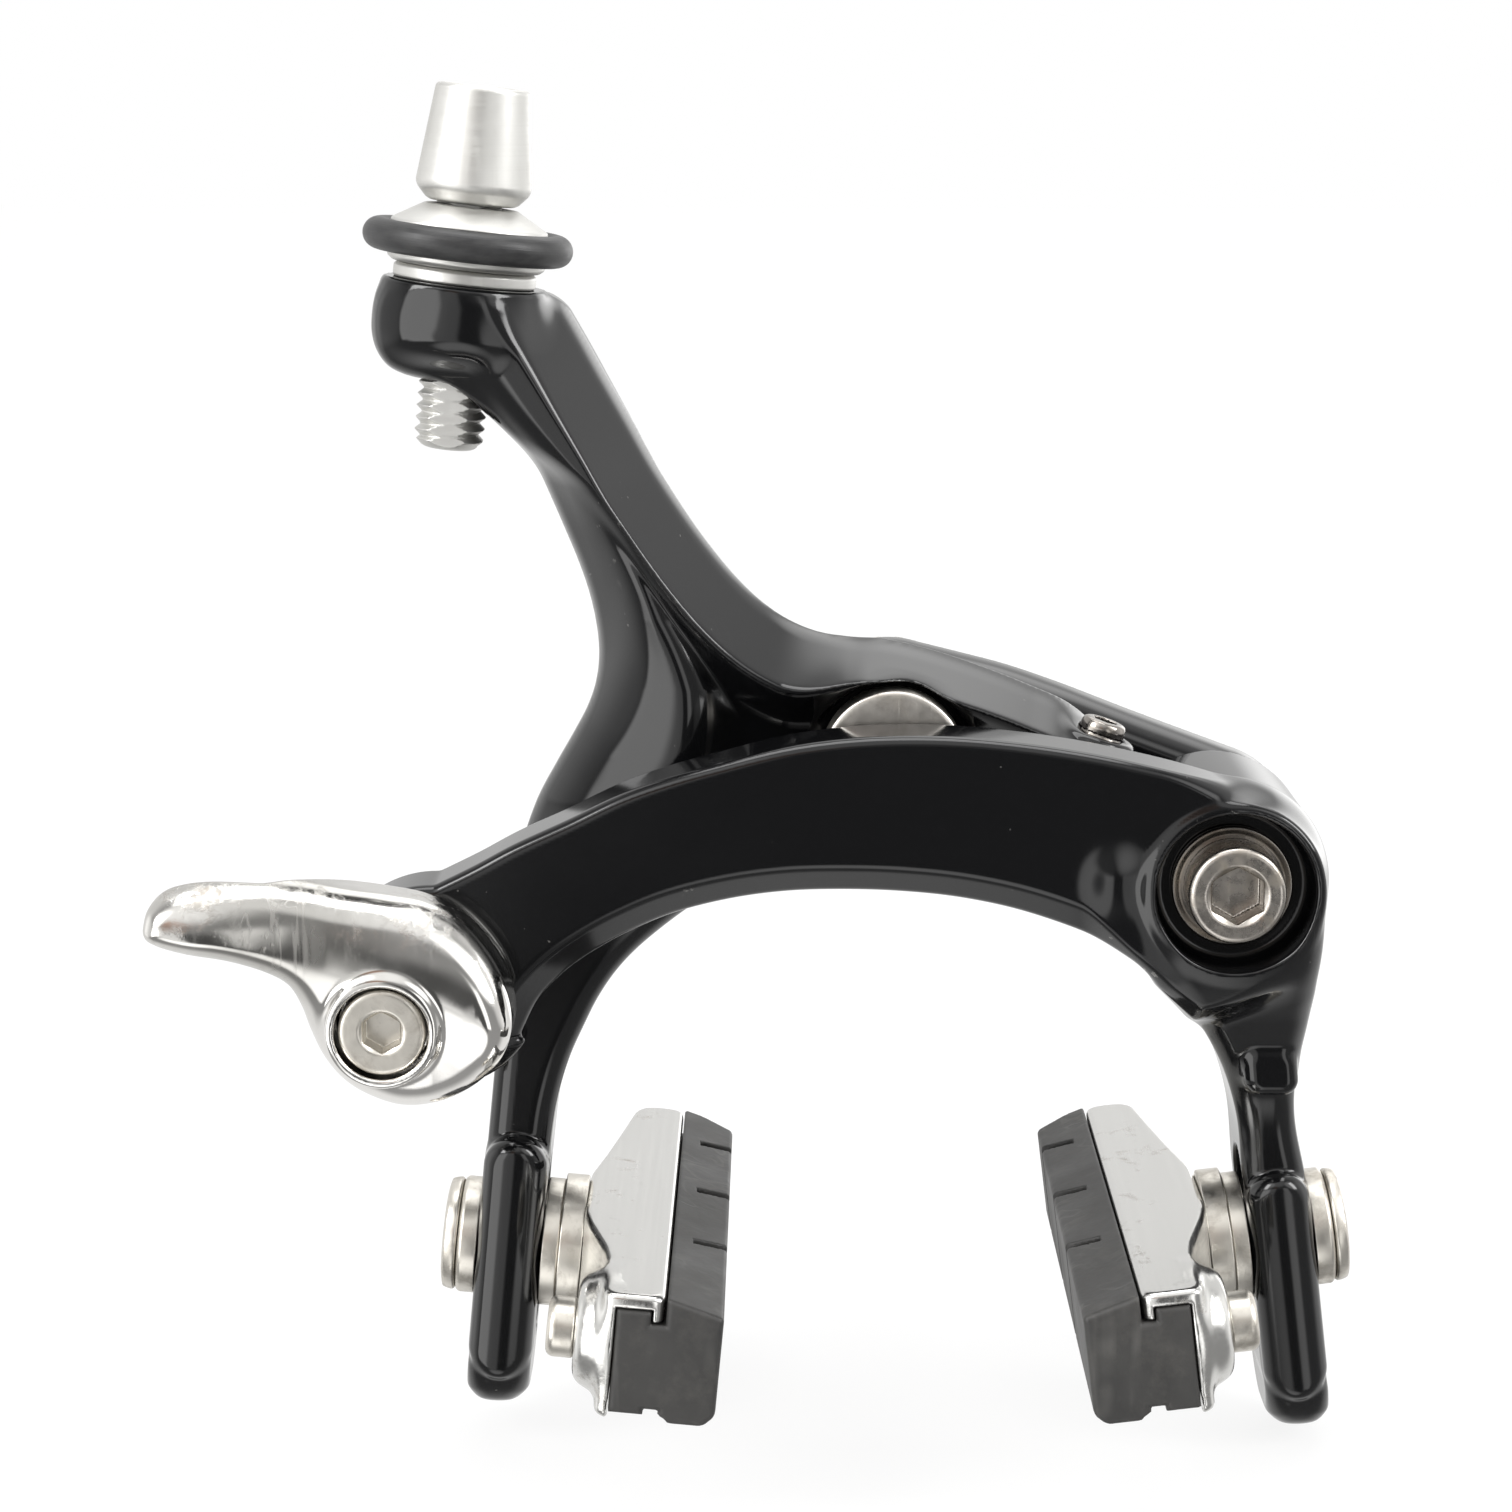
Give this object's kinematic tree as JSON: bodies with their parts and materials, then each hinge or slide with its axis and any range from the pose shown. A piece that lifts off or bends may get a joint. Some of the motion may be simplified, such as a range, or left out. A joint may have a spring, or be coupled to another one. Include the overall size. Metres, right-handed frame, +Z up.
{
  "type": "rim brake caliper",
  "caption": "Dual-pivot side-pull road rim brake caliper with arched front arm, cable adjuster, quick-release lever and cartridge brake pads.",
  "frame": {"origin": "where the mounting-bolt axis meets the rear mounting face", "axes": "+X towards the side pivot, +Y rearward along the mounting bolt, +Z up; the front of the caliper faces -Y"},
  "size_m": [0.1027, 0.0545, 0.1174],
  "materials": {
    "black_arm": "gloss black anodised aluminium, fine scuffs",
    "chrome": "polished chrome, pitted along the upper edge",
    "satin_aluminium": "turned satin aluminium",
    "brushed_aluminium": "polished aluminium with fine lengthwise brushing",
    "steel": "nickel-plated steel, slightly yellowed and worn",
    "pad_rubber": "dark grey moulded rubber, scuffed",
    "grip_rubber": "matte black rubber ring",
    "plastic": "black nylon",
    "bronze": "sintered bearing bush"
  },
  "bodies": {
    "bridge": {"bracket": "black_arm", "centre_bolt": "steel", "centre_bush": "bronze", "centre_thrust_washer": "plastic", "mount_washer": "steel", "side_pivot_bolt": "steel", "side_pivot_washer": "steel", "side_bush": "bronze", "return_spring": "steel"},
    "adjuster_arm": {"y_arm": "black_arm", "adjuster_seat": "satin_aluminium", "spring_shoe": "plastic"},
    "arch_arm": {"c_arm": "black_arm"},
    "release_lever": {"qr_lever": "chrome"},
    "cable_anchor": {"anchor_bolt": "steel", "clamp_plate": "chrome"},
    "grip_nut": {"adjuster_nut": "satin_aluminium", "adjuster_o_ring": "grip_rubber"},
    "barrel": {"adjuster_barrel": "satin_aluminium"},
    "centring_screw": {"centring_screw": "steel"},
    "left_pad_bolt_stack": {"left_pad_bolt": "steel", "left_outer_washer": "steel", "left_convex_washer": "steel"},
    "left_pad": {"left_concave_washer": "steel", "left_pad_holder": "brushed_aluminium", "left_pad_rubber": "pad_rubber", "left_pad_screw": "steel"},
    "right_pad_bolt_stack": {"right_pad_bolt": "steel", "right_outer_washer": "steel", "right_convex_washer": "steel"},
    "right_pad": {"right_concave_washer": "steel", "right_pad_holder": "brushed_aluminium", "right_pad_rubber": "pad_rubber", "right_pad_screw": "steel"}
  },
  "joints": [
    {"name": "adjuster_arm_pivot", "type": "hinge", "parent": "bridge", "child": "adjuster_arm", "pos_m": [0, -0.013, 0], "axis": [0, -1, 0], "range_deg": [0, 8], "deforming": ["return_spring"]},
    {"name": "arch_arm_pivot", "type": "hinge", "parent": "bridge", "child": "arch_arm", "pos_m": [0.0281, -0.016, -0.0093], "axis": [0, 1, 0], "range_deg": [0, 10]},
    {"name": "release_lever_turn", "type": "hinge", "parent": "arch_arm", "child": "release_lever", "pos_m": [-0.0385, -0.024, -0.0179], "axis": [0, -1, 0], "range_deg": [0, 80]},
    {"name": "cable_anchor_swivel", "type": "hinge", "parent": "release_lever", "child": "cable_anchor", "pos_m": [-0.0418, -0.024, -0.0191], "axis": [0, 1, 0], "range_deg": [0, 85]},
    {"name": "grip_nut_turn", "type": "hinge", "parent": "adjuster_arm", "child": "grip_nut", "pos_m": [-0.03575, -0.013, 0.0433], "axis": [-0.1149, 0, -0.9934], "range_deg": [0, 1836]},
    {"name": "barrel_slide", "type": "slide", "parent": "adjuster_arm", "child": "barrel", "axis": [0.1149, 0, 0.9934], "range_m": [0, 0.0051]},
    {"name": "centring_screw_turn", "type": "hinge", "parent": "adjuster_arm", "child": "centring_screw", "pos_m": [0.01576, -0.013, -0.00522], "axis": [0.3142, 0, 0.9494], "range_deg": [-60, 60]},
    {"name": "left_pad_height", "type": "slide", "parent": "adjuster_arm", "child": "left_pad_bolt_stack", "axis": [0.0941, 0, 0.9956], "range_m": [-0.005, 0.005]},
    {"name": "left_pad_tilt", "type": "hinge", "parent": "left_pad_bolt_stack", "child": "left_pad", "pos_m": [-0.0332, -0.013, -0.0439], "axis": [0.9956, 0, -0.0941], "range_deg": [-8, 8]},
    {"name": "right_pad_height", "type": "slide", "parent": "arch_arm", "child": "right_pad_bolt_stack", "axis": [-0.1253, 0, 0.9921], "range_m": [-0.005, 0.005]},
    {"name": "right_pad_tilt", "type": "hinge", "parent": "right_pad_bolt_stack", "child": "right_pad", "pos_m": [0.0342, -0.013, -0.0431], "axis": [-0.9921, 0, -0.1253], "range_deg": [-8, 8]}
  ],
  "couplings": [
    {"joint": "arch_arm_pivot", "follows": "adjuster_arm_pivot", "ratio": 1.24},
    {"joint": "cable_anchor_swivel", "follows": "release_lever_turn", "ratio": 1},
    {"joint": "grip_nut_turn", "follows": "barrel_slide", "rad_per_m": 6283.2}
  ]
}
